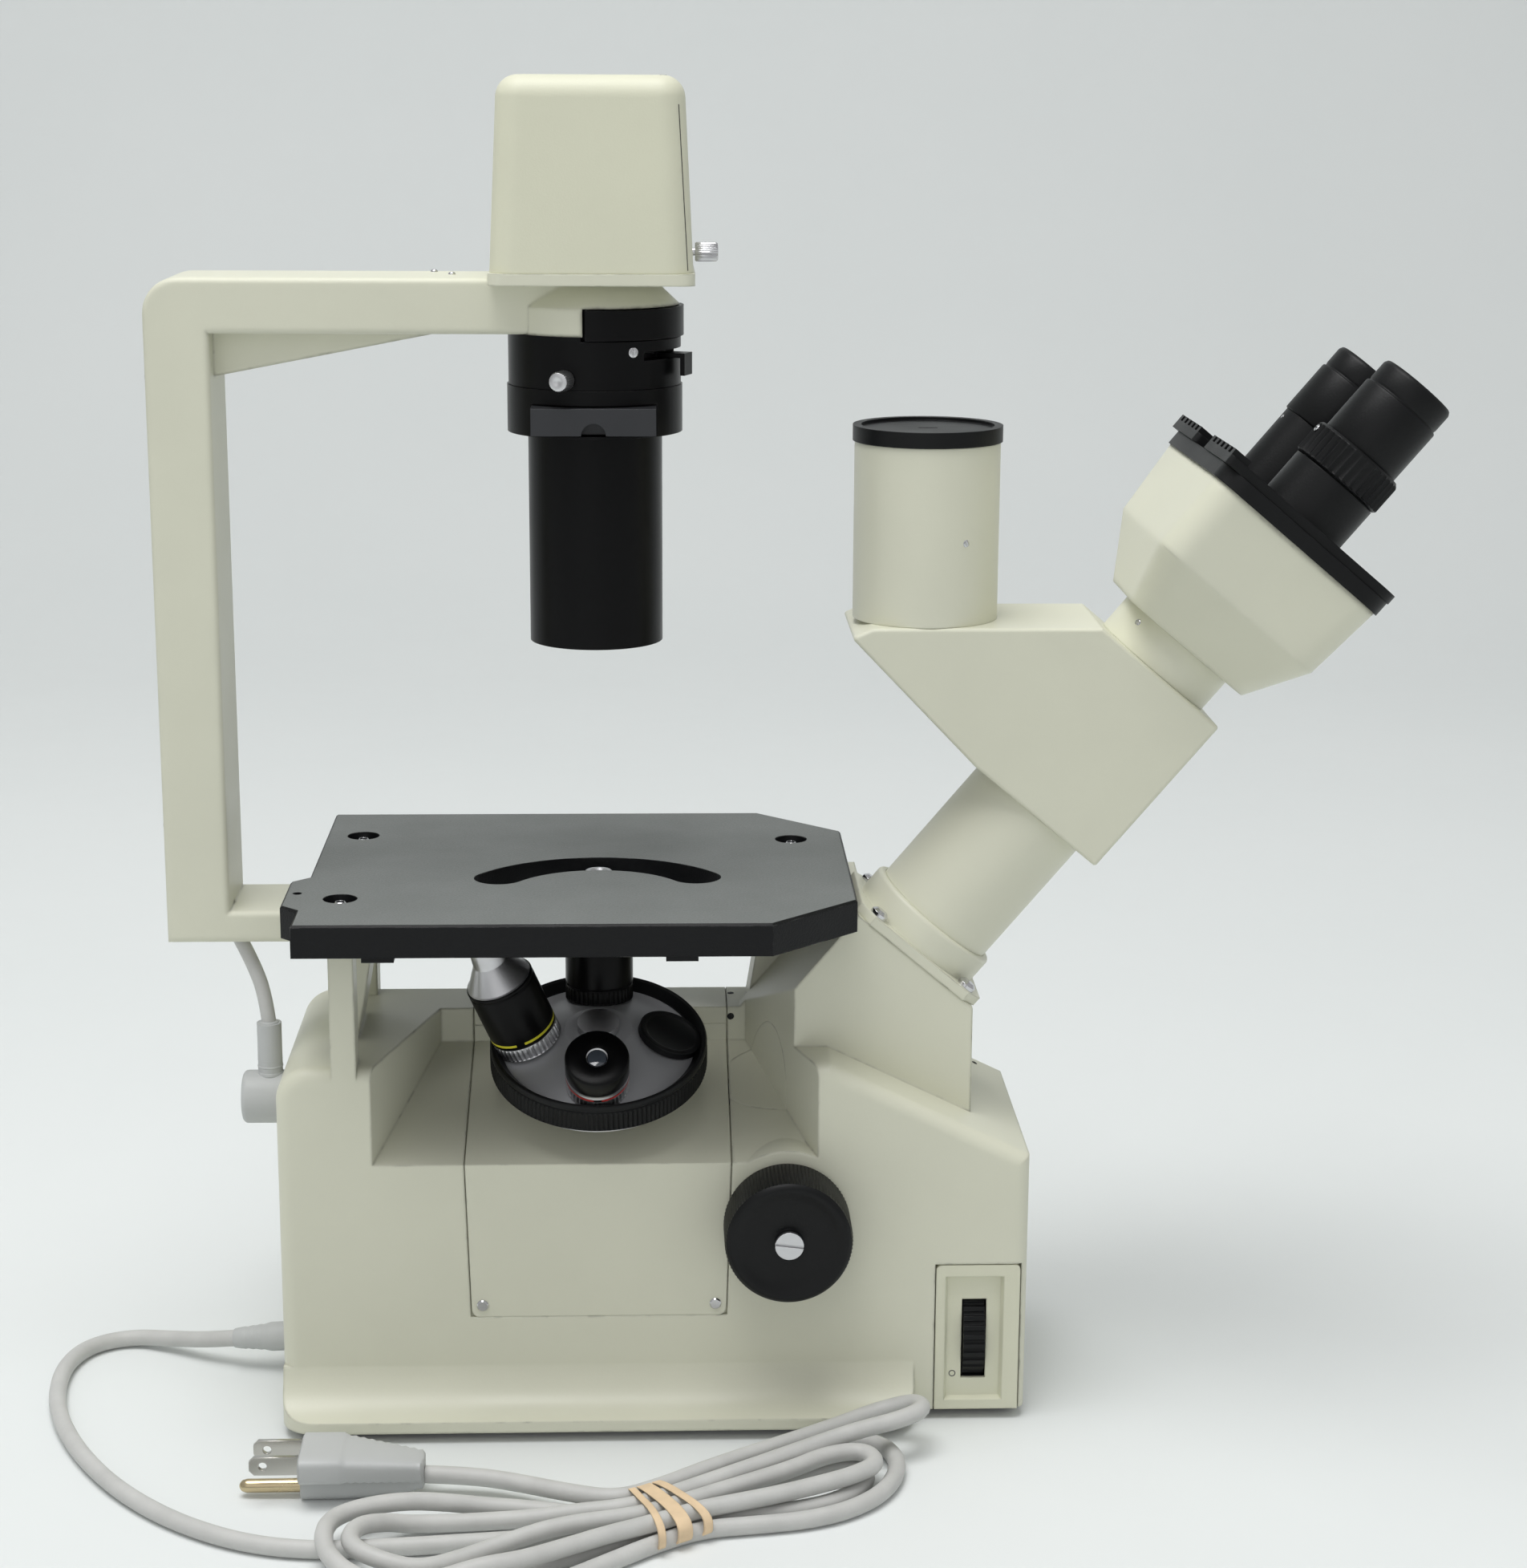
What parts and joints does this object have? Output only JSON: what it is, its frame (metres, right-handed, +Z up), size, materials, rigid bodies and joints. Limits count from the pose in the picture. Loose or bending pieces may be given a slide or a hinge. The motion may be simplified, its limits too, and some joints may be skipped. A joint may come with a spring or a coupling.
{
  "type": "inverted microscope",
  "caption": "Inverted microscope for culture vessels: flat stage over a rotating nosepiece, lamp and condenser on a rear arm, inclined binocular head and phototube.",
  "frame": {"origin": "on the desk, below the middle of the bounding box without the cord, its hank and its plug", "axes": "+X towards the user's eyepieces, +Y away from the viewer of the near side, +Z up"},
  "size_m": [0.4949, 0.2609, 0.4734],
  "materials": {
    "bare_steel": "brushed",
    "black_anodised": "black anodised",
    "black_paint": "satin",
    "black_plastic": "matt",
    "brass": "plain",
    "chrome": "bright",
    "cord_grey": "matt",
    "cream_paint": "satin enamel",
    "cream_plastic": "fine texture",
    "feet_rubber": "matt",
    "glass": "clear",
    "green_board": "solder mask",
    "grey_plastic": "matt",
    "iron_core": "plain",
    "mirror": "front silvered",
    "satin_aluminium": "satin",
    "stage_grey": "dark grey crinkle"
  },
  "bodies": {
    "stand": {"base_casting": "cream_paint", "bottom_plate": "black_paint", "rubber_feet": "feet_rubber", "recess_cover": "cream_paint", "far_cover": "cream_paint", "small_screws": "chrome", "control_panel": "cream_plastic", "dimmer_board": "green_board", "power_transformer": "iron_core", "light_path_mirror": "mirror", "stage_plate": "stage_grey", "stage_screws": "chrome", "illumination_arm": "cream_paint", "arm_rear_cover": "cream_paint", "lamp_base_plate": "cream_paint", "lamp_cover": "cream_plastic", "lamp_holder": "grey_plastic", "halogen_lamp": "glass", "condenser_drum": "black_anodised", "condenser_tube": "black_anodised", "light_path_lenses": "glass", "neck_collar": "cream_paint", "neck_screws": "chrome", "inclined_tube": "cream_paint", "prism_housing": "cream_paint", "beam_prisms": "glass", "phototube": "cream_paint", "phototube_cap": "black_plastic", "head_ring": "cream_paint", "head_body": "cream_paint", "head_face_plate": "black_plastic", "focus_bearings": "brass", "carriage_guide": "bare_steel", "lamp_lead": "cord_grey", "lead_plug": "grey_plastic", "mains_gland": "grey_plastic", "mains_cord": "cord_grey", "cord_hank": "cord_grey", "mains_plug": "grey_plastic"},
    "focus_drive": {"focus_shaft": "bare_steel", "focus_knobs": "black_plastic", "knob_caps": "satin_aluminium"},
    "carriage": {"nosepiece_carriage": "satin_aluminium"},
    "turret": {"turret_plate": "satin_aluminium", "turret_rim": "black_plastic", "objective_20x": "black_anodised", "objective_10x": "black_anodised", "objective_4x": "black_anodised", "port_cap": "black_plastic"},
    "filter_swing": {"filter_holder": "black_anodised"},
    "aperture_iris": {"aperture_lever": "black_anodised"},
    "phase_slide": {"phase_slider": "black_anodised"},
    "condenser_clamp": {"clamp_knob": "satin_aluminium"},
    "lamp_clamp": {"thumb_screw": "chrome"},
    "dimmer": {"brightness_dial": "black_plastic"},
    "left_slide": {"left_eyepiece_slide": "black_plastic"},
    "right_slide": {"right_eyepiece_slide": "black_plastic", "right_eyepiece": "black_plastic"},
    "diopter": {"diopter_ring": "black_plastic"},
    "left_ocular": {"left_eyepiece": "black_plastic"}
  },
  "joints": [
    {"name": "focus_turn", "type": "hinge", "parent": "stand", "child": "focus_drive", "pos_m": [-0.0033, 0, 0.0773], "axis": [0, 1, 0], "range_deg": [-57.2, 14.3]},
    {"name": "carriage_lift", "type": "slide", "parent": "stand", "child": "carriage", "axis": [0, 0, 1], "range_m": [-0.006, 0.0015]},
    {"name": "nosepiece_turn", "type": "hinge", "parent": "carriage", "child": "turret", "pos_m": [-0.07, -0.0235, 0.1368], "axis": [0, -0.342, 0.9397], "continuous": true},
    {"name": "filter_swing_out", "type": "hinge", "parent": "stand", "child": "filter_swing", "pos_m": [-0.068, 0.024, 0.391], "axis": [0, 0, 1], "range_deg": [0, 75]},
    {"name": "aperture_turn", "type": "hinge", "parent": "stand", "child": "aperture_iris", "pos_m": [-0.07, 0, 0.3796], "axis": [0, 0, 1], "range_deg": [-22, 30]},
    {"name": "phase_slide_in", "type": "slide", "parent": "stand", "child": "phase_slide", "axis": [0, 1, 0], "range_m": [-0.028, 0]},
    {"name": "clamp_knob_turn", "type": "hinge", "parent": "stand", "child": "condenser_clamp", "pos_m": [-0.08051, -0.03234, 0.3726], "axis": [-0.309, -0.9511, 0], "range_deg": [0, 360]},
    {"name": "thumb_screw_turn", "type": "hinge", "parent": "stand", "child": "lamp_clamp", "pos_m": [-0.032, 0, 0.414], "axis": [1, 0, 0], "range_deg": [0, 360]},
    {"name": "brightness_turn", "type": "hinge", "parent": "stand", "child": "dimmer", "pos_m": [0.0647, -0.029, 0.03035], "axis": [1, 0, 0], "range_deg": [-135, 135]},
    {"name": "left_eyepiece_shift", "type": "slide", "parent": "stand", "child": "left_slide", "axis": [0, 1, 0], "range_m": [-0.005, 0.005]},
    {"name": "right_eyepiece_shift", "type": "slide", "parent": "stand", "child": "right_slide", "axis": [0, 1, 0], "range_m": [-0.005, 0.005]},
    {"name": "diopter_turn", "type": "hinge", "parent": "left_slide", "child": "diopter", "pos_m": [0.1878, -0.032, 0.34297], "axis": [0.6428, 0, 0.766], "range_deg": [-180, 180]},
    {"name": "left_ocular_lift", "type": "slide", "parent": "left_slide", "child": "left_ocular", "axis": [0.6428, 0, 0.766], "range_m": [-0.0024, 0.0024]}
  ],
  "couplings": [
    {"joint": "carriage_lift", "follows": "focus_turn", "m_per_rad": 0.006},
    {"joint": "right_eyepiece_shift", "follows": "left_eyepiece_shift", "ratio": -1},
    {"joint": "left_ocular_lift", "follows": "diopter_turn", "m_per_rad": 0.00076}
  ]
}
